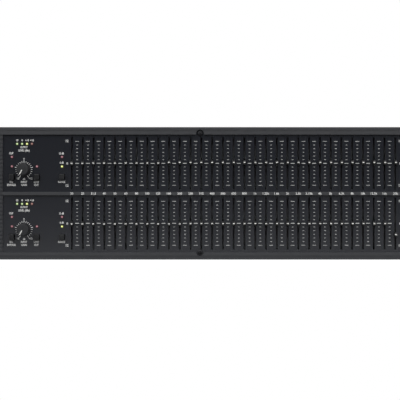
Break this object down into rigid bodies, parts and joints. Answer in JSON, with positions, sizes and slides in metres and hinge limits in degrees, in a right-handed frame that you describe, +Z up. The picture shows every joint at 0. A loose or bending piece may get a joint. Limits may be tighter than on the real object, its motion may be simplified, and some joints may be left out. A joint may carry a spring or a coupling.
{
  "type": "graphic equalizer",
  "caption": "Rack-mount two-channel graphic equalizer: black ribbed front panel with rows of slide faders, gain knobs, lamps and push buttons, and a steel case with rear connectors.",
  "frame": {"origin": "centre of the bounding box's underside: the front panel's lower edge, midway between the panel's two sides and between the knob fronts and the rear jack collars", "axes": "+X to the right along the panel as seen from the front, +Y from the front panel to the rear, +Z up"},
  "size_m": [0.4826, 0.2186, 0.1325],
  "materials": {
    "panel_coat": "aluminium with a fine matt black coat",
    "case_coat": "sheet steel with a black powder coat",
    "fader_nylon": "black nylon with a white index line",
    "knob_rubber": "soft black moulded plastic with a white pointer",
    "black_plastic": "black moulded plastic",
    "circuit_board": "green solder mask on glass-epoxy board",
    "winding": "varnished copper winding round an iron core",
    "connector_shell": "nickel-plated zinc",
    "print_white": "white screen-printed ink",
    "screw_black": "black-oxide steel screws",
    "nut_nickel": "nickel-plated brass nuts",
    "lamp_green": "lit green lamp lens",
    "lamp_yellow": "lit yellow lamp lens",
    "lamp_red": "unlit red lamp lens"
  },
  "bodies": {
    "root": {"front_panel": "panel_coat", "chassis_tray": "case_coat", "rear_panel": "case_coat", "top_cover": "case_coat", "fader_board_1": "circuit_board", "fader_board_2": "circuit_board", "control_board": "circuit_board", "main_board": "circuit_board", "power_board": "circuit_board", "transformer": "winding", "mains_inlet": "black_plastic", "power_switch_housing": "black_plastic", "xlr_input_1": "connector_shell", "xlr_input_2": "connector_shell", "xlr_output_1": "connector_shell", "xlr_output_2": "connector_shell"},
    "fader_1_20_hz": {"fader_1_20_hz": "fader_nylon"},
    "fader_1_25_hz": {"fader_1_25_hz": "fader_nylon"},
    "fader_1_31_5_hz": {"fader_1_31_5_hz": "fader_nylon"},
    "fader_1_40_hz": {"fader_1_40_hz": "fader_nylon"},
    "fader_1_50_hz": {"fader_1_50_hz": "fader_nylon"},
    "fader_1_63_hz": {"fader_1_63_hz": "fader_nylon"},
    "fader_1_80_hz": {"fader_1_80_hz": "fader_nylon"},
    "fader_1_100_hz": {"fader_1_100_hz": "fader_nylon"},
    "fader_1_125_hz": {"fader_1_125_hz": "fader_nylon"},
    "fader_1_160_hz": {"fader_1_160_hz": "fader_nylon"},
    "fader_1_200_hz": {"fader_1_200_hz": "fader_nylon"},
    "fader_1_250_hz": {"fader_1_250_hz": "fader_nylon"},
    "fader_1_315_hz": {"fader_1_315_hz": "fader_nylon"},
    "fader_1_400_hz": {"fader_1_400_hz": "fader_nylon"},
    "fader_1_500_hz": {"fader_1_500_hz": "fader_nylon"},
    "fader_1_630_hz": {"fader_1_630_hz": "fader_nylon"},
    "fader_1_800_hz": {"fader_1_800_hz": "fader_nylon"},
    "fader_1_1k_hz": {"fader_1_1k_hz": "fader_nylon"},
    "fader_1_1k25_hz": {"fader_1_1k25_hz": "fader_nylon"},
    "fader_1_1k6_hz": {"fader_1_1k6_hz": "fader_nylon"},
    "fader_1_2k_hz": {"fader_1_2k_hz": "fader_nylon"},
    "fader_1_2k5_hz": {"fader_1_2k5_hz": "fader_nylon"},
    "fader_1_3k15_hz": {"fader_1_3k15_hz": "fader_nylon"},
    "fader_1_4k_hz": {"fader_1_4k_hz": "fader_nylon"},
    "fader_1_5k_hz": {"fader_1_5k_hz": "fader_nylon"},
    "fader_1_6k3_hz": {"fader_1_6k3_hz": "fader_nylon"},
    "fader_1_8k_hz": {"fader_1_8k_hz": "fader_nylon"},
    "fader_1_10k_hz": {"fader_1_10k_hz": "fader_nylon"},
    "fader_1_12k5_hz": {"fader_1_12k5_hz": "fader_nylon"},
    "fader_1_16k_hz": {"fader_1_16k_hz": "fader_nylon"},
    "fader_1_20k_hz": {"fader_1_20k_hz": "fader_nylon"},
    "fader_2_20k_hz": {"fader_2_20k_hz": "fader_nylon"},
    "faders_2_low_bands": {"faders_2_low_bands": "fader_nylon"},
    "faders_2_mid_bands": {"faders_2_mid_bands": "fader_nylon"},
    "faders_2_high_bands": {"faders_2_high_bands": "fader_nylon"},
    "gain_knob_1": {"gain_knob_1": "knob_rubber"},
    "bypass_button_1": {"bypass_button_1": "black_plastic"},
    "low_cut_button_1": {"low_cut_button_1": "black_plastic"},
    "range_button_1": {"range_button_1": "black_plastic"},
    "gain_knob_2": {"gain_knob_2": "knob_rubber"},
    "bypass_button_2": {"bypass_button_2": "black_plastic"},
    "low_cut_button_2": {"low_cut_button_2": "black_plastic"},
    "range_button_2": {"range_button_2": "black_plastic"},
    "power_rocker": {"power_rocker": "black_plastic"}
  },
  "joints": [
    {"name": "fader_1_20_hz_slide", "type": "slide", "parent": "root", "child": "fader_1_20_hz", "axis": [0, 0, 1], "range_m": [-0.0225, 0.0225]},
    {"name": "fader_1_25_hz_slide", "type": "slide", "parent": "root", "child": "fader_1_25_hz", "axis": [0, 0, 1], "range_m": [-0.0225, 0.0225]},
    {"name": "fader_1_31_5_hz_slide", "type": "slide", "parent": "root", "child": "fader_1_31_5_hz", "axis": [0, 0, 1], "range_m": [-0.0228, 0.0222]},
    {"name": "fader_1_40_hz_slide", "type": "slide", "parent": "root", "child": "fader_1_40_hz", "axis": [0, 0, 1], "range_m": [-0.0228, 0.0222]},
    {"name": "fader_1_50_hz_slide", "type": "slide", "parent": "root", "child": "fader_1_50_hz", "axis": [0, 0, 1], "range_m": [-0.0228, 0.0222]},
    {"name": "fader_1_63_hz_slide", "type": "slide", "parent": "root", "child": "fader_1_63_hz", "axis": [0, 0, 1], "range_m": [-0.0228, 0.0222]},
    {"name": "fader_1_80_hz_slide", "type": "slide", "parent": "root", "child": "fader_1_80_hz", "axis": [0, 0, 1], "range_m": [-0.0228, 0.0222]},
    {"name": "fader_1_100_hz_slide", "type": "slide", "parent": "root", "child": "fader_1_100_hz", "axis": [0, 0, 1], "range_m": [-0.0228, 0.0222]},
    {"name": "fader_1_125_hz_slide", "type": "slide", "parent": "root", "child": "fader_1_125_hz", "axis": [0, 0, 1], "range_m": [-0.0228, 0.0222]},
    {"name": "fader_1_160_hz_slide", "type": "slide", "parent": "root", "child": "fader_1_160_hz", "axis": [0, 0, 1], "range_m": [-0.02345, 0.02155]},
    {"name": "fader_1_200_hz_slide", "type": "slide", "parent": "root", "child": "fader_1_200_hz", "axis": [0, 0, 1], "range_m": [-0.02345, 0.02155]},
    {"name": "fader_1_250_hz_slide", "type": "slide", "parent": "root", "child": "fader_1_250_hz", "axis": [0, 0, 1], "range_m": [-0.02345, 0.02155]},
    {"name": "fader_1_315_hz_slide", "type": "slide", "parent": "root", "child": "fader_1_315_hz", "axis": [0, 0, 1], "range_m": [-0.02345, 0.02155]},
    {"name": "fader_1_400_hz_slide", "type": "slide", "parent": "root", "child": "fader_1_400_hz", "axis": [0, 0, 1], "range_m": [-0.02345, 0.02155]},
    {"name": "fader_1_500_hz_slide", "type": "slide", "parent": "root", "child": "fader_1_500_hz", "axis": [0, 0, 1], "range_m": [-0.02345, 0.02155]},
    {"name": "fader_1_630_hz_slide", "type": "slide", "parent": "root", "child": "fader_1_630_hz", "axis": [0, 0, 1], "range_m": [-0.02345, 0.02155]},
    {"name": "fader_1_800_hz_slide", "type": "slide", "parent": "root", "child": "fader_1_800_hz", "axis": [0, 0, 1], "range_m": [-0.02345, 0.02155]},
    {"name": "fader_1_1k_hz_slide", "type": "slide", "parent": "root", "child": "fader_1_1k_hz", "axis": [0, 0, 1], "range_m": [-0.02345, 0.02155]},
    {"name": "fader_1_1k25_hz_slide", "type": "slide", "parent": "root", "child": "fader_1_1k25_hz", "axis": [0, 0, 1], "range_m": [-0.02345, 0.02155]},
    {"name": "fader_1_1k6_hz_slide", "type": "slide", "parent": "root", "child": "fader_1_1k6_hz", "axis": [0, 0, 1], "range_m": [-0.02345, 0.02155]},
    {"name": "fader_1_2k_hz_slide", "type": "slide", "parent": "root", "child": "fader_1_2k_hz", "axis": [0, 0, 1], "range_m": [-0.02345, 0.02155]},
    {"name": "fader_1_2k5_hz_slide", "type": "slide", "parent": "root", "child": "fader_1_2k5_hz", "axis": [0, 0, 1], "range_m": [-0.02345, 0.02155]},
    {"name": "fader_1_3k15_hz_slide", "type": "slide", "parent": "root", "child": "fader_1_3k15_hz", "axis": [0, 0, 1], "range_m": [-0.02345, 0.02155]},
    {"name": "fader_1_4k_hz_slide", "type": "slide", "parent": "root", "child": "fader_1_4k_hz", "axis": [0, 0, 1], "range_m": [-0.02345, 0.02155]},
    {"name": "fader_1_5k_hz_slide", "type": "slide", "parent": "root", "child": "fader_1_5k_hz", "axis": [0, 0, 1], "range_m": [-0.02345, 0.02155]},
    {"name": "fader_1_6k3_hz_slide", "type": "slide", "parent": "root", "child": "fader_1_6k3_hz", "axis": [0, 0, 1], "range_m": [-0.02345, 0.02155]},
    {"name": "fader_1_8k_hz_slide", "type": "slide", "parent": "root", "child": "fader_1_8k_hz", "axis": [0, 0, 1], "range_m": [-0.02345, 0.02155]},
    {"name": "fader_1_10k_hz_slide", "type": "slide", "parent": "root", "child": "fader_1_10k_hz", "axis": [0, 0, 1], "range_m": [-0.02345, 0.02155]},
    {"name": "fader_1_12k5_hz_slide", "type": "slide", "parent": "root", "child": "fader_1_12k5_hz", "axis": [0, 0, 1], "range_m": [-0.02345, 0.02155]},
    {"name": "fader_1_16k_hz_slide", "type": "slide", "parent": "root", "child": "fader_1_16k_hz", "axis": [0, 0, 1], "range_m": [-0.02345, 0.02155]},
    {"name": "fader_1_20k_hz_slide", "type": "slide", "parent": "root", "child": "fader_1_20k_hz", "axis": [0, 0, 1], "range_m": [-0.02345, 0.02155]},
    {"name": "fader_2_20k_hz_slide", "type": "slide", "parent": "root", "child": "fader_2_20k_hz", "axis": [0, 0, 1], "range_m": [-0.0115, 0.0335]},
    {"name": "faders_2_low_bands_slide", "type": "slide", "parent": "root", "child": "faders_2_low_bands", "axis": [0, 0, 1], "range_m": [-0.0225, 0.0225]},
    {"name": "faders_2_mid_bands_slide", "type": "slide", "parent": "root", "child": "faders_2_mid_bands", "axis": [0, 0, 1], "range_m": [-0.0225, 0.0225]},
    {"name": "faders_2_high_bands_slide", "type": "slide", "parent": "root", "child": "faders_2_high_bands", "axis": [0, 0, 1], "range_m": [-0.0225, 0.0225]},
    {"name": "gain_knob_1_turn", "type": "hinge", "parent": "root", "child": "gain_knob_1", "pos_m": [-0.1763, -0.09175, 0.0901], "axis": [0, 1, 0], "range_deg": [0, 300]},
    {"name": "bypass_button_1_press", "type": "slide", "parent": "root", "child": "bypass_button_1", "axis": [0, 1, 0], "range_m": [0, 0.0024], "stiffness_N_per_m": 300},
    {"name": "low_cut_button_1_press", "type": "slide", "parent": "root", "child": "low_cut_button_1", "axis": [0, 1, 0], "range_m": [0, 0.0024], "stiffness_N_per_m": 300},
    {"name": "range_button_1_press", "type": "slide", "parent": "root", "child": "range_button_1", "axis": [0, 1, 0], "range_m": [0, 0.0024], "stiffness_N_per_m": 300},
    {"name": "gain_knob_2_turn", "type": "hinge", "parent": "root", "child": "gain_knob_2", "pos_m": [-0.1763, -0.09175, 0.03], "axis": [0, 1, 0], "range_deg": [0, 300]},
    {"name": "bypass_button_2_press", "type": "slide", "parent": "root", "child": "bypass_button_2", "axis": [0, 1, 0], "range_m": [0, 0.0024], "stiffness_N_per_m": 300},
    {"name": "low_cut_button_2_press", "type": "slide", "parent": "root", "child": "low_cut_button_2", "axis": [0, 1, 0], "range_m": [0, 0.0024], "stiffness_N_per_m": 300},
    {"name": "range_button_2_press", "type": "slide", "parent": "root", "child": "range_button_2", "axis": [0, 1, 0], "range_m": [0, 0.0024], "stiffness_N_per_m": 300},
    {"name": "power_rocker_tip", "type": "hinge", "parent": "root", "child": "power_rocker", "pos_m": [0.134, 0.10455, 0.084], "axis": [1, 0, 0], "range_deg": [0, 22]}
  ]
}
